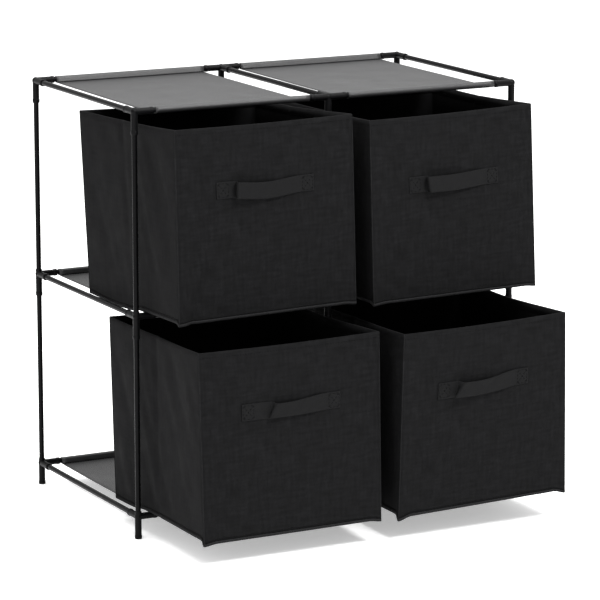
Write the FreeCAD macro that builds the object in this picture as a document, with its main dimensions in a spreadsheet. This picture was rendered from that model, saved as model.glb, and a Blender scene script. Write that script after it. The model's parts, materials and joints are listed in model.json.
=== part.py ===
import FreeCAD, Part
import math
import os

import Sketcher
from FreeCAD import Placement, Rotation, Vector

# Cube storage unit: a push-fit frame of steel tubes and moulded connectors, two bays wide and
# two tiers high, with sewn fabric shelves stretched over its front and rear rails and four
# foldable fabric bins with loose base boards and sewn strap handles.
#
# Millimetres.  The origin is under the front centre foot, on the floor: X runs along the front
# to the right, Y runs from the front to the rear, Z is up.

doc = FreeCAD.newDocument("cube_storage_unit")

# ---------------------------------------------------------------- driving dimensions

DIMENSIONS = [
    # frame, between tube axes
    ("column_pitch", 318),
    ("depth_pitch", 358),
    ("foot_drop", 34),
    ("tier_pitch", 303),
    # steel tube
    ("tube_radius", 4),
    ("tube_bore_radius", 3.2),
    # moulded connector
    ("hub_radius", 5.6),
    ("socket_radius", 5),
    ("collar_radius", 5.5),
    ("collar_length", 3),
    ("collar_taper", 1.5),
    ("socket_bore_radius", 4.05),
    ("socket_reach", 30),
    ("socket_stop", 8),
    ("cup_rise", 7.5),
    ("cup_depth", 3),
    # fabric shelf
    ("shelf_inset", 33),
    ("sleeve_radius", 4.9),
    ("sleeve_bore_radius", 4.1),
    ("sheet_top_drop", 4.15),
    ("sheet_thickness", 0.7),
    # fabric bin
    ("bin_width", 288),
    ("bin_depth", 308),
    ("bin_height", 277),
    ("bin_ride_height", 5.9),
    ("upper_tilt", 1.5),
    ("lower_tilt", 0.7),
    ("fabric_thickness", 1),
    ("board_thickness", 2),
    ("board_play", 0.1),
    ("board_margin", 0.8),
    ("base_board_thickness", 3),
    ("base_board_play", 5),
    ("base_board_clearance", 0.3),
    # strap handle
    ("strap_width", 24),
    ("strap_thickness", 1.4),
    ("strap_length", 158),
    ("patch_length", 21),
    ("strap_bulge", 18),
    ("strap_rise_angle", 65),
    ("strap_foot_radius", 6),
    ("strap_crest_radius", 9),
    ("strap_landing_radius", 40),
    ("strap_drop", 82),
    # how far each bin stands out of the frame
    ("upper_left_pull", 116),
    ("upper_right_pull", 112),
    ("lower_left_pull", 196),
    ("lower_right_pull", 198),
]

sheet = doc.addObject("Spreadsheet::Sheet", "dimensions")
for row, (alias, value) in enumerate(DIMENSIONS, start=1):
    sheet.set(f"A{row}", alias)
    sheet.set(f"B{row}", str(value))
    sheet.setAlias(f"B{row}", alias)
doc.recompute()


def size(alias):
    """The number in the cell called alias."""
    return float(sheet.get(alias))


def cell(alias):
    """The cell called alias, as it is written in an expression."""
    return "dimensions." + alias


# Where the tube axes cross, as expressions of the sheet.
COLUMN_X = {
    "left": f"-{cell('column_pitch')}",
    "centre": "0",
    "right": cell("column_pitch"),
}
ROW_Y = {"front": "0", "rear": cell("depth_pitch")}
LEVEL_Z = {
    "bottom": cell("foot_drop"),
    "middle": f"{cell('foot_drop')} + {cell('tier_pitch')}",
    "top": f"{cell('foot_drop')} + 2 * {cell('tier_pitch')}",
}
BAY_START = {"left": COLUMN_X["left"], "right": COLUMN_X["centre"]}
TIER_START = {"lower": LEVEL_Z["bottom"], "upper": LEVEL_Z["middle"]}

TO_RIGHT = Vector(1, 0, 0)
TO_LEFT = Vector(-1, 0, 0)
TO_REAR = Vector(0, 1, 0)
TO_FRONT = Vector(0, -1, 0)
UP = Vector(0, 0, 1)
DOWN = Vector(0, 0, -1)

subparts = []


def finished(item, label):
    """Names a sub-part and keeps it for the export."""
    item.Label = label
    subparts.append(item)
    return item


def move(item, x="0", y="0", z="0", rotation=None):
    """Turns an object, then binds its position to expressions of the sheet."""
    if rotation is not None:
        item.Placement = Placement(Vector(0, 0, 0), rotation)
    for axis, expression in (("x", x), ("y", y), ("z", z)):
        item.setExpression(f"Placement.Base.{axis}", expression)
    return item


def along(direction, distance):
    """The expressions of a point at a distance from the origin along one of the six directions."""
    parts = {}
    for axis, component in (("x", direction.x), ("y", direction.y), ("z", direction.z)):
        if component:
            parts[axis] = f"{int(component)} * ({distance})"
    return parts


def turned_to(direction):
    """The rotation that takes the +Z of a primitive to a direction."""
    return Rotation(UP, direction)


def cylinder(name, radius, height, direction, start="0"):
    item = doc.addObject("Part::Cylinder", name)
    item.setExpression("Radius", radius)
    item.setExpression("Height", height)
    return move(item, **along(direction, start), rotation=turned_to(direction))


def cone(name, first_radius, last_radius, height, direction, start):
    item = doc.addObject("Part::Cone", name)
    item.setExpression("Radius1", first_radius)
    item.setExpression("Radius2", last_radius)
    item.setExpression("Height", height)
    return move(item, **along(direction, start), rotation=turned_to(direction))


def box(name, lengths, corner):
    """A block with its lengths and its lowest corner given as expressions."""
    item = doc.addObject("Part::Box", name)
    for side, length in zip(("Length", "Width", "Height"), lengths):
        item.setExpression(side, length)
    return move(item, *corner)


def fused(name, pieces):
    item = doc.addObject("Part::MultiFuse", name)
    item.Shapes = pieces
    return item


def cut(name, base, tool):
    item = doc.addObject("Part::Cut", name)
    item.Base = base
    item.Tool = tool
    return item


def compound(name, pieces):
    """Solids held together as drawn, so that they can be placed as one."""
    item = doc.addObject("Part::Compound", name)
    item.Links = pieces
    return item


def group(label, pieces):
    """Separate identical solids that share one node."""
    return finished(compound(label, pieces), label)


# ---------------------------------------------------------------- steel tubes


def tube(name, length, direction, x, y, z):
    """A round steel tube of a given length that starts at a point and runs along a direction."""
    body = doc.addObject("PartDesign::Body", name)
    section = body.newObject("Sketcher::SketchObject", name + "_section")
    planes = body.Origin.OriginFeatures
    section.AttachmentSupport = [(next(p for p in planes if p.Role == "XY_Plane"), "")]
    section.MapMode = "FlatFace"
    for index, alias in enumerate(("tube_radius", "tube_bore_radius")):
        section.addGeometry(Part.Circle(Vector(0, 0, 0), UP, size(alias)), False)
        section.addConstraint(Sketcher.Constraint("Coincident", index, 3, -1, 1))
        radius = section.addConstraint(Sketcher.Constraint("Radius", index, size(alias)))
        section.setExpression(f"Constraints[{radius}]", cell(alias))
    pad = body.newObject("PartDesign::Pad", name + "_pad")
    pad.Profile = section
    pad.setExpression("Length", length)
    return move(body, x, y, z, turned_to(direction))


def between_stops(pitch):
    """The length of a level tube that ends at the stops of the sockets at its two ends."""
    return f"{pitch} - 2 * {cell('socket_stop')}"


# Upright tubes: each stands in the cup of one connector and reaches the stop of the next.
for row, y in ROW_Y.items():
    for column, x in COLUMN_X.items():
        for tier, z in TIER_START.items():
            name = f"post_{row}_{column}_{tier}"
            length = f"{cell('tier_pitch')} + {cell('cup_depth')} - {cell('socket_stop')}"
            post = tube(name, length, UP, x, y, f"{z} - {cell('cup_depth')}")
            finished(post, name)

# Front and rear rails, one along each bay at each level.
for row, y in ROW_Y.items():
    for level, z in LEVEL_Z.items():
        for bay, x in BAY_START.items():
            name = f"rail_{row}_{level}_{bay}"
            length = between_stops(cell("column_pitch"))
            rail = tube(name, length, TO_RIGHT, f"{x} + {cell('socket_stop')}", y, z)
            finished(rail, name)

# Side tubes, which run from the front to the rear at each column.
for level, z in LEVEL_Z.items():
    tubes = []
    for column, x in COLUMN_X.items():
        name = f"side_tube_{level}_{column}"
        length = between_stops(cell("depth_pitch"))
        tubes.append(tube(name, length, TO_REAR, x, cell("socket_stop"), z))
    group(f"side_tubes_{level}", tubes)

# ---------------------------------------------------------------- moulded connectors


def socket(name, direction, reach):
    """The outside of one tubular socket: a barrel with a thicker collar round its mouth."""
    radius = cell("socket_radius")
    collar = cell("collar_radius")
    taper = cell("collar_taper")
    length = cell("collar_length")
    return [
        cylinder(f"{name}_barrel", radius, reach, direction),
        cone(f"{name}_flare", radius, collar, taper, direction,
             f"{reach} - {length} - 2 * {taper}"),
        cylinder(f"{name}_collar", collar, length, direction, f"{reach} - {length} - {taper}"),
        cone(f"{name}_mouth", collar, radius, taper, direction, f"{reach} - {taper}"),
    ]


def bore(name, direction, reach):
    """The blind bore of a socket, from its stop out through its mouth."""
    return cylinder(name, cell("socket_bore_radius"), reach, direction, cell("socket_stop"))


def connector(name, level, arms):
    """One moulding, with its hub at the origin.

    Every moulding has a socket or a foot below the hub.  The ones with a tube above them have
    an open cup on top.  The leg under the bottom ones is closed and is the foot.
    """
    reach = cell("socket_reach")
    drop = cell("foot_drop")
    hub = doc.addObject("Part::Sphere", f"{name}_hub")
    hub.setExpression("Radius", cell("hub_radius"))
    outside = [hub] + socket(f"{name}_leg", DOWN, drop)
    hollows = []
    for index, direction in enumerate(arms):
        outside += socket(f"{name}_arm_{index}", direction, reach)
        hollows.append(bore(f"{name}_arm_bore_{index}", direction, reach))
    if level != "bottom":
        hollows.append(bore(f"{name}_leg_bore", DOWN, drop))
    if level != "top":
        rise = cell("cup_rise")
        depth = cell("cup_depth")
        outside.append(cylinder(f"{name}_cup", cell("socket_radius"), rise, UP))
        hollows.append(cylinder(f"{name}_cup_bore", cell("socket_bore_radius"),
                                f"{rise} + 2 * {depth}", UP, f"-{depth}"))
    shell = fused(f"{name}_outside", outside)
    return cut(name, shell, fused(f"{name}_hollows", hollows))


INWARD = {"left": TO_RIGHT, "right": TO_LEFT, "front": TO_REAR, "rear": TO_FRONT}

for level, z in LEVEL_Z.items():
    corners = []
    centres = []
    for row, y in ROW_Y.items():
        for column, x in COLUMN_X.items():
            name = f"connector_{row}_{column}_{level}"
            if column == "centre":
                arms = [TO_LEFT, TO_RIGHT, INWARD[row]]
                centres.append(move(connector(name, level, arms), x, y, z))
            else:
                arms = [INWARD[column], INWARD[row]]
                corners.append(move(connector(name, level, arms), x, y, z))
    group(f"corner_connectors_{level}", corners)
    group(f"centre_connectors_{level}", centres)

# ---------------------------------------------------------------- fabric shelves


def shelf(name):
    """A flat sheet with a hem sleeve round the rail at its front and at its rear.

    The corner of the bay, where the front rail starts, is at the origin.
    """
    width = f"{cell('column_pitch')} - 2 * {cell('shelf_inset')}"
    thickness = cell("sheet_thickness")
    under = f"-{cell('sheet_top_drop')} - {thickness}"
    inset = cell("shelf_inset")
    panel = box(f"{name}_panel", (width, cell("depth_pitch"), thickness), (inset, "0", under))
    sleeves = []
    rails = []
    for row, y in ROW_Y.items():
        for pieces, kind, alias in ((sleeves, "sleeve", "sleeve_radius"),
                                    (rails, "rail_way", "sleeve_bore_radius")):
            item = cylinder(f"{name}_{row}_{kind}", cell(alias), width, TO_RIGHT, inset)
            item.setExpression("Placement.Base.y", y)
            pieces.append(item)
    return cut(name, fused(f"{name}_outside", [panel] + sleeves), fused(f"{name}_ways", rails))


for level, z in LEVEL_Z.items():
    for bay, x in BAY_START.items():
        name = f"shelf_{level}_{bay}"
        finished(move(shelf(name), x, "0", z), name)

# ---------------------------------------------------------------- fabric bins
#
# Each bin is drawn with its front face on Y = 0, its left side on X = 0 and its base on Z = 0.

WIDTH = cell("bin_width")
DEPTH = cell("bin_depth")
HEIGHT = cell("bin_height")
FABRIC = cell("fabric_thickness")
BOARD = cell("board_thickness")
PLAY = cell("board_play")
WALL = f"(2 * {FABRIC} + {BOARD} + 2 * {PLAY})"


def outer_fabric(name):
    """The outer skin: an open box whose rim is turned in over the top of the walls."""
    skin = box(f"{name}_skin", (WIDTH, DEPTH, HEIGHT), ("0", "0", "0"))
    inside = box(f"{name}_inside",
                 (f"{WIDTH} - 2 * {FABRIC}", f"{DEPTH} - 2 * {FABRIC}", f"{HEIGHT} - 2 * {FABRIC}"),
                 (FABRIC, FABRIC, FABRIC))
    mouth = box(f"{name}_mouth",
                (f"{WIDTH} - 2 * {WALL}", f"{DEPTH} - 2 * {WALL}", HEIGHT),
                (WALL, WALL, f"{HEIGHT} / 2"))
    return cut(name, skin, fused(f"{name}_hollows", [inside, mouth]))


def lining(name):
    """The inner skin: an open box inside the boards, up to the turned-in rim."""
    gap = f"({FABRIC} + {BOARD} + 2 * {PLAY})"
    floor = f"{FABRIC} + {PLAY}"
    skin = box(f"{name}_skin",
               (f"{WIDTH} - 2 * {gap}", f"{DEPTH} - 2 * {gap}",
                f"{HEIGHT} - 2 * ({FABRIC} + {PLAY})"),
               (gap, gap, floor))
    inside = box(f"{name}_inside",
                 (f"{WIDTH} - 2 * {WALL}", f"{DEPTH} - 2 * {WALL}", HEIGHT),
                 (WALL, WALL, f"{floor} + {FABRIC}"))
    return cut(name, skin, inside)


def wall_boards(name):
    """Stiffeners: one board each in the front and the rear, two in each side that folds."""
    margin = f"({FABRIC} + {BOARD} + 2 * {PLAY} + {cell('board_margin')})"
    near = f"({FABRIC} + {PLAY})"
    tall = f"{HEIGHT} - 2 * {near}"
    long = f"{WIDTH} - 2 * {margin}"
    half = f"{DEPTH} / 2 - {margin} - {cell('board_margin')}"
    faces = {
        "front": ((long, BOARD, tall), (margin, near, near)),
        "rear": ((long, BOARD, tall), (margin, f"{DEPTH} - {near} - {BOARD}", near)),
    }
    for side, x in (("left", near), ("right", f"{WIDTH} - {near} - {BOARD}")):
        faces[f"{side}_fore"] = ((BOARD, half, tall), (x, margin, near))
        second = f"{DEPTH} / 2 + {cell('board_margin')}"
        faces[f"{side}_aft"] = ((BOARD, half, tall), (x, second, near))
    return compound(name, [box(f"{name}_{face}", *shape) for face, shape in faces.items()])


def base_board(name):
    """The loose stiff base, which lies on the lining and lifts by its rear edge."""
    margin = f"({WALL} + {cell('base_board_play')})"
    lining_floor_top = f"2 * {FABRIC} + {PLAY}"
    board = box(f"{name}_board",
                (f"{WIDTH} - 2 * {margin}", f"{DEPTH} - 2 * {margin}", cell("base_board_thickness")),
                (margin, margin, f"{lining_floor_top} + {cell('base_board_clearance')}"))
    return compound(name, [board])


def strap_path(corner, patch, span, bulge):
    """The strap's inner face, seen from above: patch, steep rise, crest, long fall, patch.

    Each stretch is a straight line or an arc that leaves in the direction the last one ended.
    """
    rise = math.radians(size("strap_rise_angle"))
    foot = size("strap_foot_radius")
    crest = size("strap_crest_radius")
    landing = size("strap_landing_radius")
    turns = foot + crest
    climb = (bulge - turns * (1 - math.cos(rise))) / math.sin(rise)
    left_over = span - turns * math.sin(rise) - climb * math.cos(rise)
    returns = crest + landing
    glide = math.sqrt(left_over ** 2 + (bulge - returns) ** 2 - returns ** 2)
    fall = math.atan2(bulge - returns, left_over) + math.atan2(returns, glide)
    stretches = [
        ("line", patch), ("arc", foot, rise), ("line", climb), ("arc", crest, -rise - fall),
        ("line", glide), ("arc", landing, fall), ("line", patch),
    ]
    edges = []
    point = corner
    heading = 0.0
    for kind, *amounts in stretches:
        if kind == "line":
            end = point + Vector(math.cos(heading), -math.sin(heading), 0) * amounts[0]
            edges.append(Part.LineSegment(point, end).toShape())
        else:
            radius, turn = amounts
            side = math.copysign(radius, turn)
            across = Vector(-math.sin(heading), -math.cos(heading), 0) * side
            centre = point + across
            middle = centre + Rotation(UP, -math.degrees(turn / 2)).multVec(-across)
            end = centre + Rotation(UP, -math.degrees(turn)).multVec(-across)
            edges.append(Part.Arc(point, middle, end).toShape())
            heading += turn
        point = end
    return Part.Wire(edges)


def handle_strap(name):
    """A flat strap, sewn down at both ends, whose slack stands out nearer its left end."""
    length = size("strap_length")
    patch = size("patch_length")
    corner = Vector((size("bin_width") - length) / 2, 0, 0)
    path = strap_path(corner, patch, length - 2 * patch, size("strap_bulge"))
    thickness = size("strap_thickness")
    arcs_kept_round = 0
    bands = [path.makeOffset2D(side * thickness, arcs_kept_round, True, True) for side in (1, -1)]
    band = min(bands, key=lambda face: face.BoundBox.YMin)
    band.translate(Vector(0, 0, size("bin_height") - size("strap_drop") - size("strap_width")))
    strap = doc.addObject("Part::Feature", name)
    strap.Shape = band.extrude(Vector(0, 0, size("strap_width")))
    expected = path.Length * thickness * size("strap_width")
    volume_tolerance = 0.1
    if abs(strap.Shape.Volume / expected - 1) > volume_tolerance:
        raise RuntimeError(f"{name}: volume {strap.Shape.Volume:.0f}, expected {expected:.0f}")
    return strap


BIN_PARTS = {
    "outer_fabric": outer_fabric,
    "lining": lining,
    "wall_boards": wall_boards,
    "base_board": base_board,
    "handle_strap": handle_strap,
}

# The base of a bin rides on the front rail and leans back, so a bin further out stands higher.
for tier, tier_z in TIER_START.items():
    tilt = f"{tier}_tilt"
    slope = f"tan({cell(tilt)} * 1 deg)"
    for bay, bay_x in BAY_START.items():
        pull = cell(f"{tier}_{bay}_pull")
        for kind, make in BIN_PARTS.items():
            name = f"bin_{tier}_{bay}_{kind}"
            piece = make(name)
            move(piece,
                 f"{bay_x} + ({cell('column_pitch')} - {WIDTH}) / 2",
                 f"-{pull}",
                 f"{tier_z} + {cell('bin_ride_height')} + {pull} * {slope}",
                 Rotation(TO_RIGHT, -size(tilt)))
            finished(piece, name)

# ---------------------------------------------------------------- checks and export

doc.recompute()

for item in doc.Objects:
    if "Invalid" in item.State or "Error" in item.State:
        raise RuntimeError(f"{item.Name} did not recompute: {item.State}")
for item in subparts:
    if item.Shape.isNull() or not item.Shape.isValid() or not item.Shape.Solids:
        raise RuntimeError(f"{item.Label} has no valid solid")

os.makedirs("parts", exist_ok=True)
for item in subparts:
    item.Shape.exportStep(f"parts/{item.Label}.step")
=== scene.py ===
import json
import math

import bmesh
import bpy
from mathutils import Matrix, Vector, noise


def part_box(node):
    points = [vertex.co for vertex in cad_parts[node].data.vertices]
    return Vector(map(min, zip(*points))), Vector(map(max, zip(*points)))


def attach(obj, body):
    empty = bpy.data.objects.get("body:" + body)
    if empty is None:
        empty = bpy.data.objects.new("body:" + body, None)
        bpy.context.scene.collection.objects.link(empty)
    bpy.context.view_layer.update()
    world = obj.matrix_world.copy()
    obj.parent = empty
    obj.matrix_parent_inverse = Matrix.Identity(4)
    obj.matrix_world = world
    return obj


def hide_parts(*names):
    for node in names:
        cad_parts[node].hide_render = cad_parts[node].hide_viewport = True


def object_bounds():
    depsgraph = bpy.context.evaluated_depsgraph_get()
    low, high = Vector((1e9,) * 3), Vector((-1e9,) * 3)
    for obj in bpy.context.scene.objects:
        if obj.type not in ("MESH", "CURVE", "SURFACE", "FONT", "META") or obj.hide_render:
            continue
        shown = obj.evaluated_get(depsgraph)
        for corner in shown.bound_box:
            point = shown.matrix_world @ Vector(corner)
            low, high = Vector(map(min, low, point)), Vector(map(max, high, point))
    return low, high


# Cube storage unit: the looks of a tube frame with stretched fabric shelves and four sewn
# fabric bins.  Metres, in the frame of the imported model: X to the right, Y to the rear, Z up.

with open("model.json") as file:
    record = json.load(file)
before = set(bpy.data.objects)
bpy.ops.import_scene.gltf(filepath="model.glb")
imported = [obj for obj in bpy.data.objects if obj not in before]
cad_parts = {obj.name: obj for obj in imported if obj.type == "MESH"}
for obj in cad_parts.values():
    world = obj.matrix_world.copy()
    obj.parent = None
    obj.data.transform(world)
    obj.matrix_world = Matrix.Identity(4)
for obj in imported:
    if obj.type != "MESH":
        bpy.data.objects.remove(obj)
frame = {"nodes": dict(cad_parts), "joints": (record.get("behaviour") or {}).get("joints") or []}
cad_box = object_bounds()

MM = 0.001
RIGHT = Vector((1, 0, 0))
REAR = Vector((0, 1, 0))
UP = Vector((0, 0, 1))

TIERS = ("lower", "upper")
BAYS = ("left", "right")
LEVELS = ("bottom", "middle", "top")
ROWS = ("front", "rear")

# ---------------------------------------------------------------- camera, light and floor

EYE = Vector((-2.370, -4.428, 1.381))
YAW = math.radians(27.68)
PITCH = math.radians(11.81)
LENS = 204.3
SENSOR = 36.0
FLOOR_GLOW = 0.38


def make_camera():
    data = bpy.data.cameras.new("camera")
    data.lens = LENS
    data.sensor_width = SENSOR
    data.clip_end = 60
    camera = bpy.data.objects.new("camera", data)
    camera.location = EYE
    camera.rotation_euler = (math.pi / 2 - PITCH, 0, -YAW)
    bpy.context.collection.objects.link(camera)
    bpy.context.scene.camera = camera


def softbox(name, place, target, width, height, power):
    """A rectangular area light that faces a target."""
    data = bpy.data.lights.new(name, "AREA")
    data.shape = "RECTANGLE"
    data.size = width
    data.size_y = height
    data.energy = power
    light = bpy.data.objects.new(name, data)
    light.location = place
    light.rotation_mode = "QUATERNION"
    light.rotation_quaternion = (Vector(target) - Vector(place)).to_track_quat("-Z", "Y")
    bpy.context.collection.objects.link(light)


def light_studio():
    middle = (cad_box[0] + cad_box[1]) / 2
    softbox("overhead", middle + Vector((0, 0.1, 2.4)), middle, 3.2, 2.6, 120)
    softbox("front_high", middle + Vector((0.4, -2.5, 2.7)), middle, 1.4, 1.0, 170)
    softbox("left_low", middle + Vector((-3.2, -1.6, 0.1)), middle, 1.6, 1.0, 16)
    world = bpy.data.worlds.new("studio")
    world.use_nodes = True
    background = world.node_tree.nodes["Background"]
    background.inputs["Color"].default_value = (1, 1, 1, 1)
    background.inputs["Strength"].default_value = 1.05
    bpy.context.scene.world = world
    bpy.context.scene.view_settings.view_transform = "Standard"


def make_floor():
    bm = bmesh.new()
    bmesh.ops.create_grid(bm, x_segments=1, y_segments=1, size=15)
    floor = mesh_object("floor", bm)
    floor.data.materials.append(floor_paint())


# ---------------------------------------------------------------- mesh helpers


def mesh_object(name, bm, smooth=True):
    """An object at the origin that holds the mesh of a bmesh, which is freed."""
    mesh = bpy.data.meshes.new(name)
    bm.to_mesh(mesh)
    bm.free()
    for face in mesh.polygons:
        face.use_smooth = smooth
    item = bpy.data.objects.new(name, mesh)
    bpy.context.collection.objects.link(item)
    return item


def piece(name, bm, material, body, replaced=(), smooth=True):
    """A finished mesh as a piece: its material, body and the CAD nodes it stands for."""
    item = mesh_object(name, bm, smooth)
    item.data.materials.append(material)
    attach(item, body)
    if replaced:
        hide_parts(*replaced)
    return item


def thicken(item, thickness, offset=-1.0):
    wall = item.modifiers.new("thickness", "SOLIDIFY")
    wall.thickness = thickness
    wall.offset = offset
    wall.use_even_offset = True


def block(bm, low, high):
    """A box between two corners; returns its vertices."""
    low = Vector(low)
    high = Vector(high)
    sizes = high - low
    place = Matrix.Translation((low + high) / 2) @ Matrix.Diagonal((*sizes, 1))
    return bmesh.ops.create_cube(bm, size=1, matrix=place)["verts"]


def slice_mesh(bm, axis, low, high, step):
    """Cuts the whole mesh across an axis at even steps, so that it can bend there."""
    count = max(1, round((high - low) / step))
    normal = Vector((0, 0, 0))
    normal[axis] = 1
    for index in range(1, count):
        place = normal * (low + (high - low) * index / count)
        everything = bm.verts[:] + bm.edges[:] + bm.faces[:]
        bmesh.ops.bisect_plane(bm, geom=everything, dist=1e-6, plane_co=place, plane_no=normal)


def lay_out_cloth(bm):
    """A UV map in metres, in which each face lies flat as its panel was cut."""
    layer = bm.loops.layers.uv.new("cloth")
    for face in bm.faces:
        across, up = panel_axes(face.normal)
        for loop in face.loops:
            loop[layer].uv = (loop.vert.co[across], loop.vert.co[up])


def panel_axes(normal):
    """The two axes that a panel with this normal lies along."""
    facing = max(range(3), key=lambda axis: abs(normal[axis]))
    return {0: (1, 2), 1: (0, 2), 2: (0, 1)}[facing]


def step_along(bm, geometry, shift, steps):
    """Sweeps geometry straight; returns its last copy."""
    return bmesh.ops.spin(bm, geom=geometry, cent=(0, 0, 0), axis=UP, dvec=shift / steps,
                          angle=0, steps=steps, use_duplicate=False)["geom_last"]


def turn_about(bm, geometry, centre, axis, angle, steps):
    """Sweeps geometry round an axis; returns its last copy."""
    return bmesh.ops.spin(bm, geom=geometry, cent=centre, axis=axis, dvec=(0, 0, 0),
                          angle=angle, steps=steps, use_duplicate=False)["geom_last"]


STITCH = 3.0 * MM
STITCH_GAP = 1.3 * MM
THREAD_RADIUS = 0.32 * MM


def sew(bm, start, end, outward, place=None):
    """A row of stitches from start to end; place moves each one, as the cloth under it moves."""
    start = Vector(start)
    end = Vector(end)
    pitch = STITCH + STITCH_GAP
    count = max(1, int((end - start).length / pitch))
    for index in range(count):
        fore = start.lerp(end, (index + 0.15) / count)
        aft = start.lerp(end, (index + 0.85) / count)
        if place is not None:
            fore = place(fore)
            aft = place(aft)
        run = (aft - fore).normalized()
        side = run.cross(outward).normalized()
        lift = side.cross(run)
        turn = Matrix((run, side, lift)).transposed().to_4x4()
        sizes = Matrix.Diagonal(((aft - fore).length / 2, THREAD_RADIUS, THREAD_RADIUS, 1))
        matrix = Matrix.Translation((fore + aft) / 2) @ turn @ sizes
        bmesh.ops.create_icosphere(bm, subdivisions=1, radius=1, matrix=matrix)


# ---------------------------------------------------------------- materials


class Finish:
    """A node material that is built up step by step round one shader."""

    def __init__(self, name, colour, roughness, specular):
        self.material = bpy.data.materials.new(name)
        self.material.use_nodes = True
        self.tree = self.material.node_tree
        self.shader = self.tree.nodes["Principled BSDF"]
        self.colour = colour
        self.socket("Base Color").default_value = (*colour, 1)
        self.socket("Roughness").default_value = roughness
        self.socket("Specular IOR Level").default_value = specular
        self.bump = None

    def socket(self, name):
        return self.shader.inputs[name]

    def node(self, kind, links=None, **settings):
        """A node; settings name its own values or its sockets, links join sockets to it."""
        made = self.tree.nodes.new(kind)
        for name, value in settings.items():
            label = name.replace("_", " ").title()
            if label in made.inputs:
                made.inputs[label].default_value = value
            else:
                setattr(made, name, value)
        for name, source in (links or {}).items():
            self.tree.links.new(source, made.inputs[name])
        return made

    def place(self, cloth=False):
        """Where a pattern lies: over the cloth as it was cut, or in the space of the object."""
        if cloth:
            return self.node("ShaderNodeUVMap", uv_map="cloth").outputs["UV"]
        return self.node("ShaderNodeTexCoord").outputs["Object"]

    def stretched(self, place, scale):
        return self.node("ShaderNodeMapping", {"Vector": place}, scale=scale).outputs["Vector"]

    def clouds(self, place, scale, detail=3.0):
        made = self.node("ShaderNodeTexNoise", {"Vector": place}, scale=scale, detail=detail)
        return made.outputs["Fac"]

    def spots(self, place, scale, randomness=1.0):
        made = self.node("ShaderNodeTexVoronoi", {"Vector": place}, scale=scale,
                         randomness=randomness)
        return made.outputs["Distance"]

    def threads(self, place, scale, direction, wobble=0.0):
        """Fine parallel lines, scale of them to about three metres."""
        made = self.node("ShaderNodeTexWave", {"Vector": place}, bands_direction=direction,
                         scale=scale, distortion=wobble)
        return made.outputs["Fac"]

    def between(self, value, low, high, out_low, out_high):
        made = self.node("ShaderNodeMapRange", {"Value": value})
        for name, number in (("From Min", low), ("From Max", high),
                             ("To Min", out_low), ("To Max", out_high)):
            made.inputs[name].default_value = number
        return made.outputs["Result"]

    def shade(self, *factors):
        """The colour, times each of the factors."""
        product = factors[0]
        for factor in factors[1:]:
            product = self.node("ShaderNodeMath", {0: product, 1: factor},
                                operation="MULTIPLY").outputs[0]
        tint = self.node("ShaderNodeVectorMath", {"Scale": product}, operation="SCALE")
        tint.inputs[0].default_value = self.colour
        self.tree.links.new(tint.outputs[0], self.socket("Base Color"))

    def rough(self, value):
        self.tree.links.new(value, self.socket("Roughness"))

    def emboss(self, height, depth, strength=1.0):
        """Adds relief of a depth in metres to the relief there is."""
        links = {"Height": height}
        if self.bump is not None:
            links["Normal"] = self.bump
        made = self.node("ShaderNodeBump", links, strength=strength, distance=depth)
        self.bump = made.outputs["Normal"]
        self.tree.links.new(self.bump, self.socket("Normal"))


def floor_paint():
    """A white floor that glows a little, as a lit studio table does."""
    paint = Finish("floor_paint", (0.95, 0.95, 0.95), 0.9, 0.1)
    paint.shade(paint.between(paint.clouds(paint.place(), 1.5), 0.3, 0.7, 0.985, 1.0))
    paint.socket("Emission Color").default_value = (1, 1, 1, 1)
    paint.socket("Emission Strength").default_value = FLOOR_GLOW
    return paint.material


def powder_coat():
    """Black paint baked on the steel tubes, with a faint orange peel."""
    coat = Finish("powder_coat", (0.0016, 0.0016, 0.0018), 0.3, 0.05)
    place = coat.place()
    coat.shade(coat.between(coat.clouds(place, 35), 0.3, 0.7, 0.8, 1.25),
               coat.between(coat.spots(place, 1600), 0.0, 0.5, 1.15, 0.95))
    coat.rough(coat.between(coat.clouds(place, 60), 0.3, 0.7, 0.22, 0.34))
    coat.emboss(coat.clouds(place, 700, detail=1.0), 0.06 * MM, 0.6)
    return coat.material


def moulded_plastic():
    """Black plastic of the connectors, finely grained."""
    plastic = Finish("moulded_plastic", (0.0018, 0.0018, 0.002), 0.42, 0.06)
    place = plastic.place()
    plastic.shade(plastic.between(plastic.clouds(place, 90), 0.3, 0.7, 0.85, 1.2))
    plastic.rough(plastic.between(plastic.clouds(place, 140), 0.3, 0.7, 0.34, 0.48))
    plastic.emboss(plastic.spots(place, 2200), 0.04 * MM, 0.7)
    plastic.emboss(plastic.clouds(place, 160), 0.15 * MM, 0.3)
    return plastic.material


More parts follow.
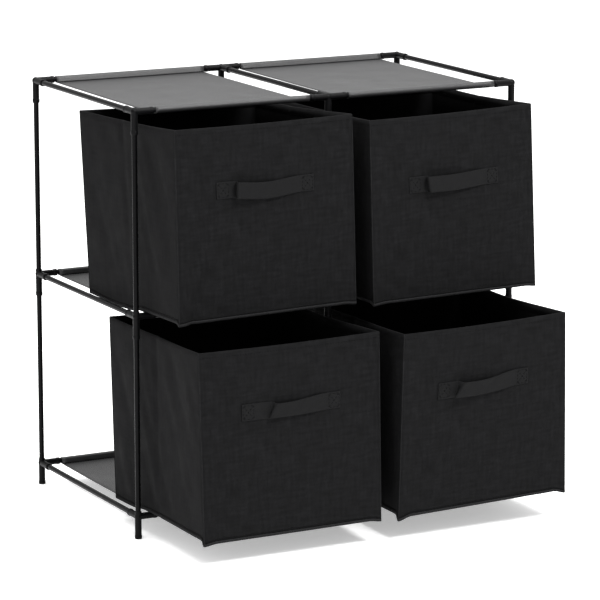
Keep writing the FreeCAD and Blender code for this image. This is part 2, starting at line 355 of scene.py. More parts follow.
def pressed_cloth(name, colour, mottle, dot_pitch=1.2 * MM):
    """Non-woven cloth: bonded dots in rows, loose fibres, slubs and uneven thickness."""
    cloth = Finish(name, colour, 0.86, 0.07)
    flat = cloth.place(cloth=True)
    dots = cloth.spots(flat, 1 / dot_pitch, randomness=0.18)
    fibres = cloth.clouds(cloth.stretched(flat, (1, 0.22, 1)), 900, detail=4.0)
    thin = cloth.clouds(flat, 34, detail=4.0)
    upright = cloth.clouds(cloth.stretched(flat, (1, 0.16, 1)), 210, detail=3.0)
    level = cloth.clouds(cloth.stretched(flat, (0.16, 1, 1)), 210, detail=3.0)
    cloth.shade(cloth.between(dots, 0.0, 0.55, 0.78, 1.12),
                cloth.between(fibres, 0.25, 0.75, 0.82, 1.18),
                cloth.between(thin, 0.3, 0.7, 1 - mottle, 1 + mottle),
                cloth.between(upright, 0.3, 0.7, 1 - mottle, 1 + mottle),
                cloth.between(level, 0.3, 0.7, 1 - mottle, 1 + mottle))
    cloth.rough(cloth.between(thin, 0.3, 0.7, 0.78, 0.94))
    cloth.emboss(thin, 1.5 * MM, 0.5)
    cloth.emboss(upright, 0.25 * MM, 0.5)
    cloth.emboss(level, 0.25 * MM, 0.5)
    cloth.emboss(fibres, 0.12 * MM, 0.5)
    cloth.emboss(dots, 0.09 * MM, 0.9)
    return cloth.material


def shelf_cloth():
    """Heavier cloth for the shelves, with crossed lines pressed into it."""
    cloth = Finish("shelf_cloth", (0.011, 0.011, 0.0115), 0.44, 0.38)
    flat = cloth.place(cloth=True)
    lengthways = cloth.threads(flat, 420, "X", wobble=0.3)
    crossways = cloth.threads(flat, 420, "Y", wobble=0.3)
    streaks = cloth.clouds(cloth.stretched(flat, (1, 0.06, 1)), 160, detail=3.0)
    uneven = cloth.clouds(flat, 22, detail=3.0)
    cloth.shade(cloth.between(lengthways, 0, 1, 0.88, 1.08),
                cloth.between(crossways, 0, 1, 0.9, 1.06),
                cloth.between(streaks, 0.3, 0.7, 0.88, 1.12),
                cloth.between(uneven, 0.3, 0.7, 0.92, 1.08))
    cloth.rough(cloth.between(uneven, 0.3, 0.7, 0.41, 0.47))
    cloth.emboss(uneven, 0.6 * MM, 0.3)
    cloth.emboss(lengthways, 0.08 * MM, 0.6)
    cloth.emboss(crossways, 0.08 * MM, 0.6)
    return cloth.material


def webbing():
    """Folded strap cloth with a fine rib along its length."""
    cloth = Finish("strap_cloth", (0.0036, 0.0036, 0.0038), 0.8, 0.08)
    flat = cloth.place(cloth=True)
    ribs = cloth.threads(flat, 330, "Y", wobble=0.5)
    picks = cloth.threads(flat, 520, "X", wobble=0.5)
    worn = cloth.clouds(flat, 70, detail=4.0)
    cloth.shade(cloth.between(ribs, 0, 1, 0.84, 1.12), cloth.between(picks, 0, 1, 0.92, 1.06),
                cloth.between(worn, 0.3, 0.7, 0.82, 1.2))
    cloth.rough(cloth.between(worn, 0.3, 0.7, 0.7, 0.9))
    cloth.emboss(worn, 0.5 * MM, 0.3)
    cloth.emboss(ribs, 0.1 * MM, 0.6)
    return cloth.material


def sewing_thread():
    """Dark twisted thread, sunk in the cloth."""
    thread = Finish("sewing_thread", (0.0008, 0.0008, 0.0009), 0.7, 0.03)
    place = thread.place()
    twist = thread.threads(thread.stretched(place, (1, 1, 0.7)), 900, "DIAGONAL")
    thread.shade(thread.between(twist, 0, 1, 0.7, 1.2),
                 thread.between(thread.clouds(place, 120), 0.3, 0.7, 0.85, 1.15))
    thread.emboss(twist, 0.1 * MM, 0.7)
    return thread.material


def pressed_board():
    """Bare grey-brown board, felted from short fibres."""
    board = Finish("pressed_board", (0.36, 0.31, 0.25), 0.85, 0.2)
    place = board.place()
    fibres = board.clouds(board.stretched(place, (1, 1, 0.3)), 700, detail=5.0)
    flecks = board.spots(place, 260)
    board.shade(board.between(fibres, 0.25, 0.75, 0.75, 1.15),
                board.between(flecks, 0.05, 0.3, 0.8, 1.0),
                board.between(board.clouds(place, 30), 0.3, 0.7, 0.88, 1.08))
    board.rough(board.between(fibres, 0.3, 0.7, 0.78, 0.94))
    board.emboss(fibres, 0.1 * MM, 0.5)
    return board.material


POWDER_COAT = powder_coat()
PLASTIC = moulded_plastic()
SHELF_CLOTH = shelf_cloth()
BIN_CLOTH = pressed_cloth("bin_cloth", (0.0029, 0.0029, 0.0031), 0.28)
# The lining is darker than the outer cloth: partly its own darker tone, partly painted shade for
# the inside of the bin.
LINING_AND_SHADE_CLOTH = pressed_cloth("lining_and_painted_shade_cloth", (0.0012, 0.0012, 0.0013), 0.12)
COVER_CLOTH = pressed_cloth("board_cover_cloth", (0.004, 0.004, 0.0043), 0.14)
# The binding's cloth is lighter than the walls: a painted highlight for the light its rounded edge
# catches.
BINDING_CLOTH_PAINTED_LIGHT = pressed_cloth("binding_cloth_painted_light", (0.0075, 0.0075, 0.0078), 0.1, dot_pitch=0.9 * MM)
# The seam cloth is lighter than the walls: a painted highlight along each corner.
SEAM_CLOTH_PAINTED_LIGHT = pressed_cloth("seam_cloth_painted_light", (0.0055, 0.0055, 0.0058), 0.2, dot_pitch=0.9 * MM)
STRAP_CLOTH = webbing()
THREAD = sewing_thread()
BOARD = pressed_board()

# ---------------------------------------------------------------- frame

for name, node in frame["nodes"].items():
    if name.startswith(("post_", "rail_", "side_tubes_")):
        node.data.materials.clear()
        node.data.materials.append(POWDER_COAT)
    elif "connectors" in name:
        node.data.materials.clear()
        node.data.materials.append(PLASTIC)

# ---------------------------------------------------------------- shelves

SLEEVE_RADIUS = 4.5 * MM
SHELF_THICKNESS = 0.7 * MM
HEM_REACH = 6.5 * MM
HEM_LIFT = 0.75 * MM
HEM_SEAM = HEM_REACH + 1.6 * MM
SEAM_BELOW_AXIS = SLEEVE_RADIUS - 0.5 * MM
SHELF_SAG = 1.6 * MM
SHELF_RIPPLE = 0.5 * MM
HEM_CELLS = 4
SLEEVE_CELLS = 18
HALF_SHELF_CELLS = 26
SHELF_CELLS_ACROSS = 36


def shelf(level, bay):
    """A sheet stretched from rail to rail, its ends turned round the rails and sewn down."""
    node = f"shelf_{level}_{bay}"
    low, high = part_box(node)
    rails = [f"rail_{row}_{level}_{bay}" for row in ROWS]
    axes = [(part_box(rail)[0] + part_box(rail)[1]) / 2 for rail in rails]
    front = axes[0].y
    depth = axes[1].y - front
    height = axes[0].z
    centre = Vector((low.x, front, height))
    hem = Vector((low.x, front + HEM_REACH, height - SLEEVE_RADIUS + HEM_LIFT))
    out = hem - centre
    tangent = math.atan2(out.z, out.y) + math.acos(SLEEVE_RADIUS / out.length)
    lift_off = centre + Vector((0, math.cos(tangent), math.sin(tangent))) * SLEEVE_RADIUS
    sweep = math.radians(270) - tangent

    bm = bmesh.new()
    line = [bmesh.ops.create_vert(bm, co=hem)["vert"][0]]
    line = step_along(bm, line, lift_off - hem, HEM_CELLS)
    line = turn_about(bm, line, centre, RIGHT, sweep, SLEEVE_CELLS)
    step_along(bm, line, Vector((0, depth / 2, 0)), HALF_SHELF_CELLS)
    middle = Vector((0, front + depth / 2, 0))
    copied = bmesh.ops.duplicate(bm, geom=bm.verts[:] + bm.edges[:])["geom"]
    flip = Matrix.Translation(middle) @ Matrix.Scale(-1, 4, REAR) @ Matrix.Translation(-middle)
    bmesh.ops.transform(bm, matrix=flip,
                        verts=[item for item in copied if isinstance(item, bmesh.types.BMVert)])
    bmesh.ops.remove_doubles(bm, verts=bm.verts[:], dist=1e-5)
    width = high.x - low.x
    step_along(bm, bm.edges[:], Vector((width, 0, 0)), SHELF_CELLS_ACROSS)
    bmesh.ops.recalc_face_normals(bm, faces=bm.faces[:])
    lay_out_cloth(bm)
    for vert in bm.verts:
        across = (vert.co.x - low.x) / width
        along = min(1.0, max(0.0, (vert.co.y - front) / depth))
        slack = math.sin(math.pi * along) ** 0.6 if 0 < along < 1 else 0.0
        ripple = noise.noise(Vector((vert.co.x * 26, vert.co.y * 5, height * 9)))
        vert.co.z -= slack * (SHELF_SAG * (0.35 + 0.65 * math.sin(math.pi * across)))
        vert.co.z += slack * ripple * SHELF_RIPPLE
    sheet = piece(node + "_cloth", bm, SHELF_CLOTH, "frame", [node])
    thicken(sheet, SHELF_THICKNESS, 0.0)

    bm = bmesh.new()
    for row, axis in zip(ROWS, axes):
        inward = 1 if row == "front" else -1
        line_y = axis.y + inward * HEM_SEAM
        line_z = height - SEAM_BELOW_AXIS
        sew(bm, (low.x + 2 * MM, line_y, line_z), (high.x - 2 * MM, line_y, line_z), UP)
    stitches = piece(node + "_hem_stitches", bm, THREAD, "frame")


for level in LEVELS:
    for bay in BAYS:
        shelf(level, bay)

# ---------------------------------------------------------------- bins

FABRIC = 1.0 * MM
LINING_FABRIC = 0.8 * MM
STRIP_FABRIC = 0.6 * MM
WALL = 4.2 * MM
LINING_GAP = 3.7 * MM
BOARD_NEAR = 1.15 * MM
BOARD_THICKNESS = 1.9 * MM
BOARD_MARGIN = 1.2 * MM
BOARD_BELOW_RIM = 16 * MM
BOARD_GAP = 2 * MM
CORNER_RADIUS = 2.4 * MM
RIM_TURN_DOWN = 13 * MM
RIM_STITCH_DROP = 7.6 * MM
RIM_PINCH = 0.5
PINCH_STARTS = 26 * MM
PINCH_FULL = 4 * MM
RIM_SAG_ACROSS = 1.6 * MM
RIM_SAG_ALONG = 2.6 * MM
BINDING_HEIGHT = 3.6 * MM
BINDING_PROUD = 0.7 * MM
BINDING_UNDER = 0.4 * MM
# The band above the binding is painted shade: dark cloth where the wall turns in above the seam.
PAINTED_SHADE_BAND_HEIGHT = 2.6 * MM
PAINTED_SHADE_BAND_PROUD = 0.1 * MM
BASE_ROUNDING = 1.3 * MM
BASE_STITCH_MARGIN = 9 * MM
BASE_STEP = 14 * MM
SKIN_STEP = 6.5 * MM
WALL_ZONE = 9 * MM
WALL_SWELL = 1.4 * MM
CREASE_GROOVE = 2.0 * MM
FOLD_HALF_WIDTH = 5 * MM
WRINKLE_LEAN = math.radians(-24)


class Slouch:
    """How one bin differs from a true box.

    Its corners move by millimetres to the right, to the rear and up.  The arch lifts the foot of
    its walls between the corners, the crease and the wrinkles dent its side walls, the dent is a
    fold in its front wall, and beside the shelf its side seams hang.
    """

    def __init__(self, seed, corners, arch, crease, wrinkle, dent=0.0, crease_lean=0.0,
                 side_hang=0.0):
        self.seed = seed
        self.corners = corners
        self.arch = arch * MM
        self.crease = crease * MM
        self.wrinkle = wrinkle * MM
        self.dent = dent * MM
        self.crease_lean = crease_lean
        self.side_hang = side_hang * MM


# Corners are named by side, row and height: left or right, front or rear, base or rim.
SLOUCH = {
    "upper_left": Slouch(3, {
        "left_front_base": (0, 1, -4), "right_front_base": (-1, -3, 3),
        "left_rear_base": (-3, 0, -1.2), "right_rear_base": (0, 2, -1),
        "left_front_rim": (0, 6, 3), "right_front_rim": (0, 6, 6.5),
        "left_rear_rim": (-5.5, 17, -2), "right_rear_rim": (1, 10, -3)},
        arch=2.0, crease=4.0, wrinkle=1.9, dent=3.4, crease_lean=0.075, side_hang=5.0),
    "upper_right": Slouch(11, {
        "left_front_base": (-2.5, -9, -3.5), "right_front_base": (-3.5, 4, -1.5),
        "left_rear_base": (0, 0, -1), "right_rear_base": (0, 1, -1),
        "left_front_rim": (-3.5, -3, -5), "right_front_rim": (-5, 14, -1),
        "left_rear_rim": (2, 8, -4), "right_rear_rim": (0, 10, -3)},
        arch=2.0, crease=3.5, wrinkle=1.0),
    "lower_left": Slouch(23, {
        "left_front_base": (-1, 2, -8), "right_front_base": (0, 0, -6),
        "left_rear_base": (0, 0, -4), "right_rear_base": (0, 0, -3),
        "left_front_rim": (-3, 10, -3), "right_front_rim": (0, 5, 1),
        "left_rear_rim": (-1.5, 10, -3), "right_rear_rim": (0, 7, -3)},
        arch=2.6, crease=4.5, wrinkle=2.5),
    "lower_right": Slouch(37, {
        "left_front_base": (-2, 0, -9.5), "right_front_base": (-4.5, -5, 0),
        "left_rear_base": (0, 0, -3), "right_rear_base": (0, 0, -2),
        "left_front_rim": (1, -12, -3.5), "right_front_rim": (-4.5, -2, 0.5),
        "left_rear_rim": (0, 4, -4), "right_rear_rim": (0, 4, -3)},
        arch=5.0, crease=4.0, wrinkle=1.4),
}


def share_of(value, low, high):
    """How far a value is from low to high, from 0 to 1."""
    return min(1.0, max(0.0, (value - low) / (high - low)))


def smooth(low, high, value):
    """A share that starts and ends gently."""
    share = share_of(value, low, high)
    return share * share * (3 - 2 * share)


def mound(share, steepness):
    """A hump over the shares from 0 to 1, and nothing outside them."""
    return math.sin(math.pi * share) ** steepness if 0 < share < 1 else 0.0


class Bin:
    """One bin's own frame, read from its slide and its outer fabric, and its soft shape."""

    def __init__(self, tier, bay):
        self.name = f"bin_{tier}_{bay}"
        self.slouch = SLOUCH[f"{tier}_{bay}"]
        self.strap = STRAP_SHAPES[f"{tier}_{bay}"]
        slide = next(j for j in frame["joints"] if j["name"] == self.name + "_slide")
        rearward = -Vector(slide["axis"]).normalized()
        upward = RIGHT.cross(rearward)
        self.turn = Matrix((RIGHT, rearward, upward)).transposed()
        self.tilt = math.atan2(-rearward.z, rearward.y)
        corner, self.width, self.depth, self.height = self.tilted_box("outer_fabric")
        self.place = Matrix.Translation(corner) @ self.turn.to_4x4()
        self.rail = -corner.y

    def node(self, part):
        return f"{self.name}_{part}"

    def tilted_box(self, part):
        """The front lower left corner, width, depth and height of a box that leans as the bin."""
        low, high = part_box(self.node(part))
        span = high - low
        cos = math.cos(self.tilt)
        sin = math.sin(self.tilt)
        depth = (span.y * cos - span.z * sin) / math.cos(2 * self.tilt)
        height = (span.z * cos - span.y * sin) / math.cos(2 * self.tilt)
        return Vector((low.x, low.y, low.z + depth * sin)), span.x, depth, height

    def folds(self, along, up, seed):
        """Long soft wrinkles that lean across a wall, from -1 to 1."""
        across = along * math.cos(WRINKLE_LEAN) + up * math.sin(WRINKLE_LEAN)
        down = -along * math.sin(WRINKLE_LEAN) + up * math.cos(WRINKLE_LEAN)
        first = noise.noise(Vector((across * 19, down * 3.6, seed)))
        second = noise.noise(Vector((across * 44, down * 8, seed + 5)))
        return first + 0.35 * second

    def bulge(self, point):
        """How far the cloth stands out of each wall near a point, as a shift."""
        x, y, z = point
        shift = Vector((0, 0, 0))
        for wall, side in ((0.0, -1), (self.depth, 1)):
            if abs(y - wall) < WALL_ZONE:
                shift.y += side * self.swell(x, z, wall)
                if side < 0:
                    shift.y += self.corner_fold(x, z)
        for wall, side in ((0.0, -1), (self.width, 1)):
            if abs(x - wall) < WALL_ZONE:
                shift.x += side * self.creased(y, z, wall)
        return shift

    def swell(self, x, z, wall):
        """The front and rear walls are stiff: they swell faintly, with shallow mottling."""
        up = share_of(z, 0, self.height)
        rise = mound(up * 1.05, 0.5) if up < 0.95 else 0.0
        span = mound(share_of(x, 0, self.width), 0.5)
        seed = self.slouch.seed + wall * 50
        faint = noise.noise(Vector((x * 22, z * 15, seed)))
        fine = noise.noise(Vector((x * 55, z * 42, seed + 9)))
        wavy = (0.7 * faint + 0.25 * fine) * MM * min(1, 2 * span) * smooth(0, 0.1, 1 - up)
        return WALL_SWELL * rise * span + wavy

    def creased(self, y, z, wall):
        """The side walls have a standing crease where they fold, and leaning wrinkles."""
        up = share_of(z, 0, self.height)
        reach = mound(share_of(y, 0, self.depth), 0.5)
        from_crease = abs(y - self.depth * (0.5 + self.slouch.crease_lean * up))
        shoulder = 1 - smooth(0, 0.42 * self.depth, from_crease)
        groove = math.exp(-(from_crease / FOLD_HALF_WIDTH) ** 2)
        deep = 0.45 + 0.55 * up
        dent = deep * (self.slouch.crease * shoulder + CREASE_GROOVE * groove)
        wrinkles = 1.6 * self.slouch.wrinkle * self.folds(y, z, self.slouch.seed + wall * 50)
        wrinkles *= smooth(0, 0.12, 1 - up) * smooth(0, 0.1, up) * min(1, 1.6 * reach)
        return wrinkles - dent * min(1, 2 * reach)

    def corner_fold(self, x, z):
        """A short fold that rises from the front wall's lower left corner."""
        line = 0.075 * self.width + z * 0.2
        off = (x - line) / FOLD_HALF_WIDTH
        fade = 1 - smooth(0.12, 0.38, z / self.height)
        return self.slouch.dent * fade * (math.exp(-off * off) - 0.6 * math.exp(-(off + 2.2) ** 2))

    def pinch(self, point):
        """Thins the wall towards the rim, where no board stands between the sewn layers."""
        below = self.height - point.z
        thin = 1 - RIM_PINCH * (1 - smooth(PINCH_FULL, PINCH_STARTS, below))
        for axis, length in ((0, self.width), (1, self.depth)):
            if point[axis] < WALL_ZONE:
                point[axis] *= thin
            elif point[axis] > length - WALL_ZONE:
                point[axis] = length - (length - point[axis]) * thin
        return point

    def hang_front(self, y):
        """How much of the front hem's hang there is: it stays in front of the rail."""
        return 1 - smooth(0.5 * WALL, 1.8 * WALL, y)

    def hang_rear(self, y):
        """How much of the rear's hang there is: it starts just behind the rail."""
        return smooth(self.rail + 6 * MM, self.rail + 0.45 * (self.depth - self.rail), y)

    def hang_beside_shelf(self, y):
        """How much of the side seams' hang there is: nothing holds them up there."""
        behind_rail = smooth(self.rail + 8 * MM, self.rail + 42 * MM, y)
        return behind_rail * (1 - smooth(0.7, 1.0, y / self.depth))

    def soften(self, point):
        """A point of the true box moved to where it is on the real, soft bin."""
        point = self.pinch(Vector(point))
        across = point.x / self.width
        along = point.y / self.depth
        up = point.z / self.height
        shift = self.bulge(point)
        for name, corner in self.slouch.corners.items():
            side, row, level = name.split("_")
            weight = across if side == "right" else 1 - across
            weight *= up if level == "rim" else 1 - up
            reach = along if row == "rear" else 1 - along
            moved = Vector(corner) * MM * weight
            shift += Vector((moved.x * reach, moved.y * reach, 0))
            if level == "base":
                reach = self.hang_rear(point.y) if row == "rear" else self.hang_front(point.y)
            shift.z += moved.z * reach
        low = 1 - smooth(0, 0.25, up)
        from_corner = min(across, 1 - across)
        edge = max(smooth(0, 0.07, from_corner) if point.y < WALL_ZONE else 0, along * (1 - along))
        shift.z += low * self.slouch.arch * min(1, edge)
        if min(point.x, self.width - point.x) < WALL_ZONE:
            shift.z -= low * self.slouch.side_hang * self.hang_beside_shelf(point.y)
        rim = smooth(0.85, 1.0, up)
        shift.z -= rim * RIM_SAG_ACROSS * mound(across, 1)
        shift.z -= rim * RIM_SAG_ALONG * mound(along, 1)
        return point + shift

    def settle(self, bm):
        """Softens a mesh drawn on the true box and moves it to the bin's place."""
        for vert in bm.verts:
            vert.co = self.place @ self.soften(vert.co)

    def spot(self, point):
        return self.place @ self.soften(point)

    def facing(self, direction):
        return self.turn @ Vector(direction)


def open_box(low, high, radius, step):
    """An open-topped box with rounded edges, cut into panels small enough to drape."""
    bm = bmesh.new()
    block(bm, low, high)
    top = [face for face in bm.faces if face.normal.z > 0.9]
    bmesh.ops.delete(bm, geom=top, context="FACES")
    folded = [edge for edge in bm.edges if not edge.is_boundary]
    bmesh.ops.bevel(bm, geom=folded, offset=radius, offset_type="OFFSET", segments=2,
                    profile=0.5, affect="EDGES", material=-1)
    for axis in range(3):
        slice_mesh(bm, axis, low[axis], high[axis], step)
    return bm


def turn_in_rim(bm, unit):
    """Carries the rim inward over the wall and down inside it."""
    rim = [edge for edge in bm.edges if edge.is_boundary]
    centre = Vector((unit.width / 2, unit.depth / 2, 0))
    inward = WALL + FABRIC + 0.3 * MM
    shrink = Vector((1 - 2 * inward / unit.width, 1 - 2 * inward / unit.depth, 1))
    for half in range(2):
        made = bmesh.ops.extrude_edge_only(bm, edges=rim)["geom"]
        verts = [item for item in made if isinstance(item, bmesh.types.BMVert)]
        rim = [item for item in made if isinstance(item, bmesh.types.BMEdge)
               and all(vert in set(verts) for vert in item.verts)]
        if half == 0:
            for vert in verts:
                vert.co = centre + (vert.co - centre) * shrink
            drop = 0
        else:
            drop = RIM_TURN_DOWN
        bmesh.ops.translate(bm, verts=verts, vec=(0, 0, -drop))


def outer_skin(unit):
    size = (unit.width, unit.depth, unit.height)
    bm = open_box((0, 0, 0), size, CORNER_RADIUS, SKIN_STEP)
    turn_in_rim(bm, unit)
    bmesh.ops.recalc_face_normals(bm, faces=bm.faces[:])
    lay_out_cloth(bm)
    unit.settle(bm)
    skin = piece(unit.node("outer_skin"), bm, BIN_CLOTH, unit.name,
                 [unit.node("outer_fabric")])
    thicken(skin, FABRIC)


# The lining's very dark cloth is partly painted shade for the inside of the bin.
def inner_lining(unit):
    gap = LINING_GAP
    low = (gap, gap, gap)
    high = (unit.width - gap, unit.depth - gap, unit.height - 1.6 * MM)
    bm = open_box(low, high, CORNER_RADIUS, SKIN_STEP * 1.5)
    lay_out_cloth(bm)
    unit.settle(bm)
    skin = piece(unit.node("inner_lining"), bm, LINING_AND_SHADE_CLOTH, unit.name,
                 [unit.node("lining")])
    thicken(skin, LINING_FABRIC)


def stiffener_boards(unit):
    """One board each in the front and the rear wall, two in each side wall that folds."""
    bm = bmesh.new()
    near = BOARD_NEAR
    far = near + BOARD_THICKNESS
    margin = far + BOARD_MARGIN
    top = unit.height - BOARD_BELOW_RIM
    halves = ((margin, (unit.depth - BOARD_GAP) / 2),
              ((unit.depth + BOARD_GAP) / 2, unit.depth - margin))
    block(bm, (margin, near, margin), (unit.width - margin, far, top))
    block(bm, (margin, unit.depth - far, margin), (unit.width - margin, unit.depth - near, top))
    for inner, outer in ((near, far), (unit.width - far, unit.width - near)):
        for first, last in halves:
            block(bm, (inner, first, margin), (outer, last, top))
    for axis, length in enumerate((unit.width, unit.depth, unit.height)):
        slice_mesh(bm, axis, 0, length, SKIN_STEP)
    unit.settle(bm)
    piece(unit.node("stiffeners"), bm, BOARD, unit.name,
          [unit.node("wall_boards")], smooth=False)


def base_strip(unit, name, low, high, proud, cloth):
    """A narrow band of cloth round the foot of the walls."""
    bm = bmesh.new()
    block(bm, (-proud, -proud, low), (unit.width + proud, unit.depth + proud, high))
    ends = [face for face in bm.faces if abs(face.normal.z) > 0.9]
    bmesh.ops.delete(bm, geom=ends, context="FACES")
    upright = [edge for edge in bm.edges if not edge.is_boundary]
    bmesh.ops.bevel(bm, geom=upright, offset=CORNER_RADIUS, offset_type="OFFSET", segments=3,
                    profile=0.5, affect="EDGES", material=-1)
    for axis, length in enumerate((unit.width, unit.depth)):
        slice_mesh(bm, axis, 0, length, SKIN_STEP)
    lay_out_cloth(bm)
    unit.settle(bm)
    strip = piece(unit.node(name), bm, cloth, unit.name)
    thicken(strip, STRIP_FABRIC, 0.0)


def bottom_binding(unit):
    """A folded strip sewn over the seam round the base, its cloth lightened by a painted
    highlight, and a dark band of painted shade above it.
    """
    base_strip(unit, "bottom_binding", -BINDING_UNDER, BINDING_HEIGHT, BINDING_PROUD,
               BINDING_CLOTH_PAINTED_LIGHT)
    # Painted shade: a band of the darkest cloth where the wall above the binding is in shade.
    base_strip(unit, "base_fold", BINDING_HEIGHT, BINDING_HEIGHT + PAINTED_SHADE_BAND_HEIGHT,
               PAINTED_SHADE_BAND_PROUD, LINING_AND_SHADE_CLOTH)


def corner_seams(unit):
    """The turned edges of the panels, which stand as a fine ridge down each corner, in lighter
    cloth that is a painted highlight along each corner.
    """
    bm = bmesh.new()
    inset = 0.5 * MM
    radius = 1.0 * MM
    for x in (inset, unit.width - inset):
        for y in (inset, unit.depth - inset):
            place = Matrix.Translation((x, y, unit.height / 2))
            bmesh.ops.create_cone(bm, cap_ends=True, segments=8, radius1=radius,
                                  radius2=radius, depth=unit.height - 1 * MM, matrix=place)
    slice_mesh(bm, 2, 0, unit.height, SKIN_STEP)
    lay_out_cloth(bm)
    unit.settle(bm)
    piece(unit.node("corner_seams"), bm, SEAM_CLOTH_PAINTED_LIGHT, unit.name)


def hem_stitches(unit):
    """The row of stitches that holds the turned-in rim."""
    bm = bmesh.new()
    height = unit.height - RIM_STITCH_DROP
    clear = 2.6 * MM
    sunk = 0.1 * MM
    for y, outward in ((-sunk, (0, -1, 0)), (unit.depth + sunk, (0, 1, 0))):
        sew(bm, (clear, y, height), (unit.width - clear, y, height),
            unit.facing(outward), unit.spot)
    for x, outward in ((-sunk, (-1, 0, 0)), (unit.width + sunk, (1, 0, 0))):
        sew(bm, (x, clear, height), (x, unit.depth - clear, height),
            unit.facing(outward), unit.spot)
    piece(unit.node("hem_stitches"), bm, THREAD, unit.name)


def base_board(unit):
    """The loose base: pressed board wrapped in cloth, sewn round its edge."""
    corner, width, depth, height = unit.tilted_box("base_board")
    place = Matrix.Translation(corner) @ unit.turn.to_4x4()
    bm = bmesh.new()
    block(bm, (0, 0, 0), (width, depth, height))
    bmesh.ops.bevel(bm, geom=bm.edges[:], offset=BASE_ROUNDING, offset_type="OFFSET",
                    segments=3, profile=0.5, affect="EDGES", material=-1)
    for axis, length in enumerate((width, depth)):
        slice_mesh(bm, axis, 0, length, BASE_STEP)
    lay_out_cloth(bm)
    for vert in bm.verts:
        top = smooth(0.5, 1.0, vert.co.z / height)
        pillow = noise.noise(Vector((vert.co.x * 30, vert.co.y * 30, unit.slouch.seed)))
        vert.co.z += top * pillow * 0.25 * MM
    bmesh.ops.transform(bm, matrix=place, verts=bm.verts[:])
    piece(unit.node("covered_base"), bm, COVER_CLOTH, unit.name + "_base",
          [unit.node("base_board")])
    bm = bmesh.new()
    margin = BASE_STITCH_MARGIN
    top = height + 0.1 * MM
    ring = [Vector((margin, margin, top)), Vector((width - margin, margin, top)),
            Vector((width - margin, depth - margin, top)), Vector((margin, depth - margin, top))]
    for start, end in zip(ring, ring[1:] + ring[:1]):
        sew(bm, place @ start, place @ end, unit.facing((0, 0, 1)))
    piece(unit.node("base_stitches"), bm, THREAD, unit.name + "_base")


# ---------------------------------------------------------------- strap handles

STRAP_THICKNESS = 1.5 * MM
STRAP_WIDTH = 24 * MM
PATCH = 21 * MM
PATCH_MARGIN = 2.2 * MM
STRAP_FOOT = 1.9 * MM
STRAP_CREST = 2.2 * MM
STRAP_LANDING = 38 * MM


class StrapShape:
    """How one strap lies, in millimetres but for the rise in degrees.

    It runs along the wall, rises at an angle until it stands off by its reach, and falls slowly
    back.  Its rise leans, its slack narrows and droops, and its ends are sewn on at a shift to
    the right and at heights of their own.
    """

    def __init__(self, run, rise, reach, lean, narrowing, droop, shift, left_up, right_up):
        self.run = run * MM
        self.rise = math.radians(rise)
        self.reach = reach * MM
        self.lean = lean
        self.narrowing = narrowing
        self.droop = droop * MM
        self.shift = shift * MM
        self.left_up = left_up * MM
        self.right_up = right_up * MM


STRAP_SHAPES = {
    "upper_left": StrapShape(run=10, rise=122, reach=12, lean=0.04, narrowing=0.02, droop=4.2,
                             shift=-2, left_up=3.3, right_up=1.6),
    "upper_right": StrapShape(run=10, rise=122, reach=12, lean=-0.15, narrowing=0.0, droop=1.8,
                              shift=0, left_up=-8.5, right_up=-7.5),
    "lower_left": StrapShape(run=26, rise=132, reach=8.5, lean=0.6, narrowing=0.16, droop=2.0,
                             shift=-1, left_up=2, right_up=3.8),
    "lower_right": StrapShape(run=12, rise=112, reach=11, lean=0.8, narrowing=0.12, droop=3.4,
                              shift=-4, left_up=2.4, right_up=7.0),
}


def strap_line(bm, start, span, shape):
    """The strap from above: patch, run, steep rise, crest, long fall and patch."""
    angle = shape.rise
    bends = STRAP_FOOT + STRAP_CREST
    climb = (shape.reach - bends * (1 - math.cos(angle))) / math.sin(angle)
    climb = max(climb, 0.5 * MM)
    height = bends * (1 - math.cos(angle)) + climb * math.sin(angle)
    gone = bends * math.sin(angle) + climb * math.cos(angle)
    left_over = span - shape.run - gone
    returns = STRAP_CREST + STRAP_LANDING
    glide = math.sqrt(left_over ** 2 + (height - returns) ** 2 - returns ** 2)
    fall = math.atan2(height - returns, left_over) + math.atan2(returns, glide)
    stretches = [("line", PATCH + shape.run, 8), ("arc", STRAP_FOOT, angle, 6),
                 ("line", climb, 3), ("arc", STRAP_CREST, -angle - fall, 12), ("line", glide, 14),
                 ("arc", STRAP_LANDING, fall, 8), ("line", PATCH, 6)]
    point = Vector(start)
    heading = 0.0
    tip = [bmesh.ops.create_vert(bm, co=point)["vert"][0]]
    for kind, *amounts, steps in stretches:
        ahead = Vector((math.cos(heading), -math.sin(heading), 0))
        if kind == "line":
            tip = step_along(bm, tip, ahead * amounts[0], steps)
            point = point + ahead * amounts[0]
        else:
            radius, turn = amounts
            outward = Vector((-math.sin(heading), -math.cos(heading), 0))
            centre = point + outward * math.copysign(radius, turn)
            tip = turn_about(bm, tip, centre, UP, -turn, steps)
            point = centre + Matrix.Rotation(-turn, 3, "Z") @ (point - centre)
            heading += turn


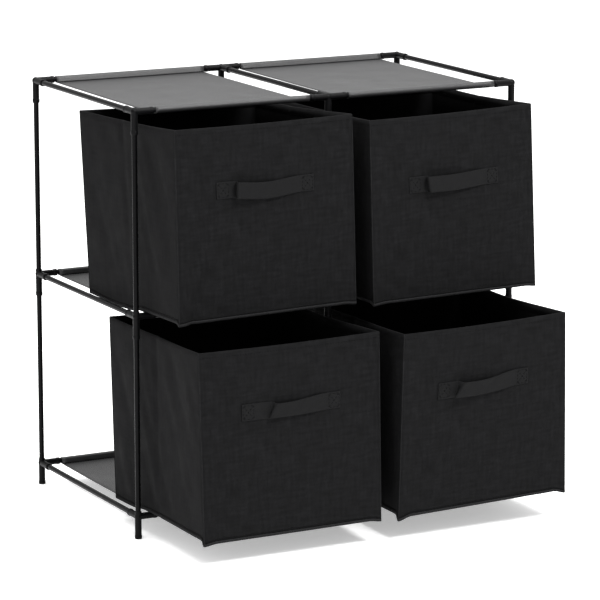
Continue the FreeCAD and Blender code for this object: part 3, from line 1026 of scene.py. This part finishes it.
def handle_strap(unit):
    low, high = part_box(unit.node("handle_strap"))
    corner = unit.place.inverted() @ Vector((low.x, (low.y + high.y) / 2, (low.z + high.z) / 2))
    length = high.x - low.x
    shape = unit.strap
    left = corner.x + shape.shift
    middle = corner.z
    bottom = middle - STRAP_WIDTH / 2
    span = length - 2 * PATCH

    bm = bmesh.new()
    strap_line(bm, (left, -STRAP_THICKNESS * 0.6, bottom), span, shape)
    step_along(bm, bm.edges[:], Vector((0, 0, STRAP_WIDTH)), 8)
    bmesh.ops.recalc_face_normals(bm, faces=bm.faces[:])
    if sum(face.normal.y * face.calc_area() for face in bm.faces) > 0:
        bmesh.ops.reverse_faces(bm, faces=bm.faces[:])
    layer = bm.loops.layers.uv.new("cloth")
    for face in bm.faces:
        for loop in face.loops:
            loop[layer].uv = (loop.vert.co.x - loop.vert.co.y, loop.vert.co.z)

    def raised(x):
        """How high the strap is sewn on at a place along it."""
        share = share_of(x, left + PATCH, left + PATCH + span)
        return shape.left_up + (shape.right_up - shape.left_up) * share

    def hang(point):
        """The slack leans and droops a little, while the ends stay sewn to the wall."""
        out = smooth(1.5 * MM, shape.reach, -point.y)
        up = (point.z - middle) * (1 - shape.narrowing * out)
        sag = shape.droop * mound((point.x - left - PATCH) / span, 1.5)
        return Vector((point.x + shape.lean * up * out, point.y,
                       middle + up + raised(point.x) - sag))

    def wall_at(point):
        """Keeps the strap on the front wall where the wall has moved."""
        base = Vector((point.x, 0, point.z))
        return unit.place @ (point + unit.soften(base) - base)

    for vert in bm.verts:
        vert.co = wall_at(hang(vert.co))
    strap = piece(unit.node("strap"), bm, STRAP_CLOTH, unit.name,
                  [unit.node("handle_strap")])
    thicken(strap, STRAP_THICKNESS, 0.0)
    soft_edge = strap.modifiers.new("soft_edge", "BEVEL")
    soft_edge.width = 0.35 * MM
    soft_edge.segments = 2
    soft_edge.limit_method = "ANGLE"

    bm = bmesh.new()
    margin = PATCH_MARGIN
    face = -STRAP_THICKNESS * 1.2
    outward = unit.facing((0, -1, 0))
    boxes = [(left + margin, left + PATCH - margin),
             (left + length - PATCH + margin, left + length - margin)]
    for first, last in boxes:
        lower = bottom + raised(first) + margin
        upper = bottom + raised(last) + STRAP_WIDTH - margin
        ring = [Vector((first, face, lower)), Vector((last, face, lower)),
                Vector((last, face, upper)), Vector((first, face, upper))]
        lines = list(zip(ring, ring[1:] + ring[:1])) + [(ring[0], ring[2]), (ring[1], ring[3])]
        for start, end in lines:
            sew(bm, start, end, outward, wall_at)
    piece(unit.node("strap_stitches"), bm, THREAD, unit.name)


for tier in TIERS:
    for bay in BAYS:
        unit = Bin(tier, bay)
        outer_skin(unit)
        inner_lining(unit)
        stiffener_boards(unit)
        bottom_binding(unit)
        corner_seams(unit)
        hem_stitches(unit)
        base_board(unit)
        handle_strap(unit)

make_camera()
light_studio()
make_floor()
